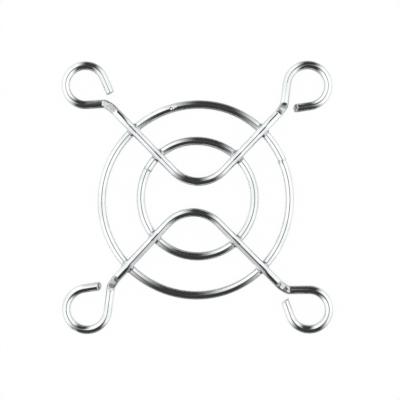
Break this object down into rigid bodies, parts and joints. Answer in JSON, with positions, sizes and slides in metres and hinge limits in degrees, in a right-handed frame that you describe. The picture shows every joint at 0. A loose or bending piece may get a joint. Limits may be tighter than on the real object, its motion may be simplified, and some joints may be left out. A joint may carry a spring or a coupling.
{
  "type": "wire fan guard",
  "caption": "Welded wire finger guard for a 40 mm fan: two concentric rings under two bent V-shaped arms with open screw eyes at the corners.",
  "frame": {"origin": "centre of the square of screw eyes, on the plane that the rings and eyes lie on", "axes": "+Z away from the fan, towards the arms; +X and +Y along the sides of the square of screw eyes, with the upper arm on the +Y side"},
  "size_m": [0.0392, 0.0392, 0.0023],
  "materials": {
    "plated_wire": "bright nickel-chrome plating over drawn and bent steel wire"
  },
  "bodies": {
    "root": {"outer_ring": "plated_wire", "inner_ring": "plated_wire", "upper_arm": "plated_wire", "lower_arm": "plated_wire"}
  },
  "joints": []
}
